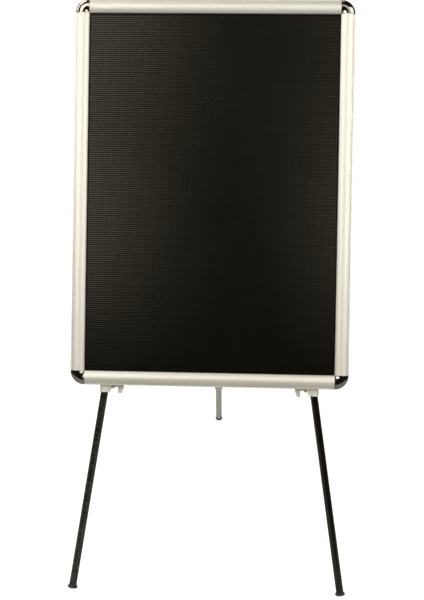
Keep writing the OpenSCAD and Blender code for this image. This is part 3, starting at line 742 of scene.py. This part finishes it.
def refine(node, material):
    """Softens a CAD node's edges and gives it its material."""
    soft_edge = 0.35
    flat_below, sharp_above = 1, 40
    obj = frame["nodes"][node]
    obj.data.materials.clear()
    obj.data.materials.append(MATERIALS[material])
    weld = obj.modifiers.new("weld", "WELD")
    weld.merge_threshold = MERGE
    flat = obj.modifiers.new("flat", "DECIMATE")
    flat.decimate_type = "DISSOLVE"
    flat.angle_limit = math.radians(flat_below)
    bevel = obj.modifiers.new("edges", "BEVEL")
    bevel.width = soft_edge * MM
    bevel.segments = 2
    bevel.limit_method = "ANGLE"
    bevel.angle_limit = math.radians(sharp_above)
    normals = obj.modifiers.new("normals", "WEIGHTED_NORMAL")
    normals.keep_sharp = True


# The CAD nodes that keep their shape, under the name of their material
KEPT = {
    "back_board": ["back_panel"],
    "zinc": ["corner_keys", "corner_screws", "bracket_screws", "lever_pins_front",
             "rear_hinge_bolt", "rear_hinge_nut", "rear_hinge_washers",
             "rear_upper_lever_pin", "rear_lower_lever_pin"],
    "spring": ["snap_springs"],
    "bracket": ["top_crossbar", "hinge_bracket"],
    "collar": ["collar_left", "collar_right", "rear_upper_collar", "rear_lower_collar"],
    "socket": ["tube_socket_left", "tube_socket_right", "saddle_clip_left",
               "saddle_clip_right", "rear_hinge_head"],
    "lever": ["lever_left", "lever_right", "rear_upper_lever", "rear_lower_lever"],
    "shoe": ["clamp_shoes_front", "rear_upper_shoe", "rear_lower_shoe"],
    "nylon": ["glide_bush_left", "glide_bush_right", "rear_mid_bush", "rear_lower_bush"],
    "plug": ["tube_plugs"],
}


# ---------- studio ----------

# Metres, degrees, and radiance in watts per steradian and square metre
STUDIO_CENTRE = (0, 0, 0.9)
STUDIO_RADIUS = 3.4
PANEL_SIZE = (1.4, 1.1)
WARM = (1.0, 0.96, 0.845)

# Each front panel's azimuth, 0 straight in front and positive to the right, its lift above
# the middle of the object, and its radiance
FRONT_PANELS = {
    (-75, 58): 3.5, (-75, 38): 2.6, (-75, 18): 1.8,
    (-50, 18): 2.5,
    (-25, 38): 3.5, (-25, 18): 3.9,
    (25, 38): 1.3, (25, 18): 3.4,
    (50, 38): 3.2, (50, 18): 4.8,
}
BACK_PANELS = (-150, 150)
BACK_LIFT = 36
BACK_SIZE = (1.5, 1.2)
BACK_RADIANCE = 2.0
OVERHEAD_LIFT = 89
OVERHEAD_SIZE = (2, 2)
OVERHEAD_RADIANCE = 0.95
WHITE = (1, 1, 1)


def softbox(name, azimuth, lift, size, radiance, colour):
    """An evenly lit rectangle facing the middle of the object."""
    turn, rise = math.radians(azimuth), math.radians(lift)
    away = Vector((math.sin(turn) * math.cos(rise), -math.cos(turn) * math.cos(rise),
                   math.sin(rise)))
    light = bpy.data.lights.new(name, "AREA")
    light.shape = "RECTANGLE"
    light.size, light.size_y = size
    light.energy = radiance * math.pi * size[0] * size[1]
    light.color = colour
    obj = bpy.data.objects.new(name, light)
    obj.location = Vector(STUDIO_CENTRE) + away * STUDIO_RADIUS
    obj.rotation_euler = (-away).to_track_quat("-Z", "Y").to_euler()
    obj.visible_camera = False
    bpy.context.scene.collection.objects.link(obj)


def light_studio():
    """A bank of warm softboxes in front, two white ones behind and one overhead."""
    for (azimuth, lift), radiance in FRONT_PANELS.items():
        softbox(f"panel_{azimuth}_{lift}", azimuth, lift, PANEL_SIZE, radiance, WARM)
    for azimuth in BACK_PANELS:
        softbox(f"panel_{azimuth}", azimuth, BACK_LIFT, BACK_SIZE, BACK_RADIANCE, WHITE)
    softbox("overhead", 0, OVERHEAD_LIFT, OVERHEAD_SIZE, OVERHEAD_RADIANCE, WARM)


def floor_plane(name, height, shader):
    """A square of floor round the origin, left out of the object."""
    reach = 12
    mesh = bpy.data.meshes.new(name)
    mesh.from_pydata([(-reach, -reach, height), (reach, -reach, height),
                      (reach, reach, height), (-reach, reach, height)], [], [(0, 1, 2, 3)])
    mesh.materials.append(shader.material)
    floor = bpy.data.objects.new(name, mesh)
    bpy.context.scene.collection.objects.link(floor)
    return floor


def make_floor():
    """A white floor for the eye, and just under it a greyer one for light and reflections."""
    white = Shader("floor_white", (0.5, 0.5, 0.5), roughness=0.9, Specular_IOR_Level=0,
                   Emission_Color=(*WHITE, 1))
    white.tint(white.ramp(white.noise(scale=1.5), 0.3, 0.7), (0.51, 0.51, 0.505))
    distance = white.node("ShaderNodeVectorMath", operation="LENGTH")
    white.link(white.coordinates(), distance.inputs[0])
    near, far = 0.9, 2.2
    glow = (0.78, 1.05)
    white.link(white.ramp(distance.outputs["Value"], near, far, to=glow),
               white.main.inputs["Emission Strength"])
    seen = floor_plane("floor", 0, white)
    seen.visible_diffuse = False
    seen.visible_glossy = False
    seen.visible_transmission = False
    seen.visible_shadow = False
    grey = Shader("floor_grey", (0.5, 0.495, 0.48), roughness=0.9, Specular_IOR_Level=0)
    just_under = -0.0005
    bounce = floor_plane("floor_bounce", just_under, grey)
    bounce.visible_camera = False


def make_world():
    """White backdrop for the camera; a dim room with a lighter back wall for reflections.

    The room's shade goes by direction, from 0 in front of the object to 1 behind it."""
    world = bpy.data.worlds.new("studio")
    bpy.context.scene.world = world
    world.use_nodes = True
    tree = world.node_tree
    tree.nodes.clear()
    output = tree.nodes.new("ShaderNodeOutputWorld")
    seen = tree.nodes.new("ShaderNodeBackground")
    seen.inputs["Color"].default_value = (*WHITE, 1)
    room = tree.nodes.new("ShaderNodeBackground")
    paths = tree.nodes.new("ShaderNodeLightPath")
    mix = tree.nodes.new("ShaderNodeMixShader")
    where = tree.nodes.new("ShaderNodeTexCoord")
    split = tree.nodes.new("ShaderNodeSeparateXYZ")
    shade = tree.nodes.new("ShaderNodeValToRGB")
    dim = (0.02, 0.02, 0.018, 1)
    back_wall = (0.6, 0.6, 0.59, 1)
    stops = shade.color_ramp.elements
    stops[0].position, stops[0].color = 0.72, dim
    stops[1].position, stops[1].color = 0.97, back_wall
    scale = tree.nodes.new("ShaderNodeMapRange")
    scale.inputs["From Min"].default_value = -1
    links = tree.links
    links.new(where.outputs["Generated"], split.inputs[0])
    links.new(split.outputs["Y"], scale.inputs["Value"])
    links.new(scale.outputs[0], shade.inputs[0])
    links.new(shade.outputs[0], room.inputs["Color"])
    links.new(paths.outputs["Is Camera Ray"], mix.inputs[0])
    links.new(room.outputs[0], mix.inputs[1])
    links.new(seen.outputs[0], mix.inputs[2])
    links.new(mix.outputs[0], output.inputs[0])


make_camera()
build_board()
build_legs()
for finish_name, kept_nodes in KEPT.items():
    for kept in kept_nodes:
        refine(kept, finish_name)
make_floor()
make_world()
light_studio()
bpy.context.scene.view_settings.view_transform = "Standard"
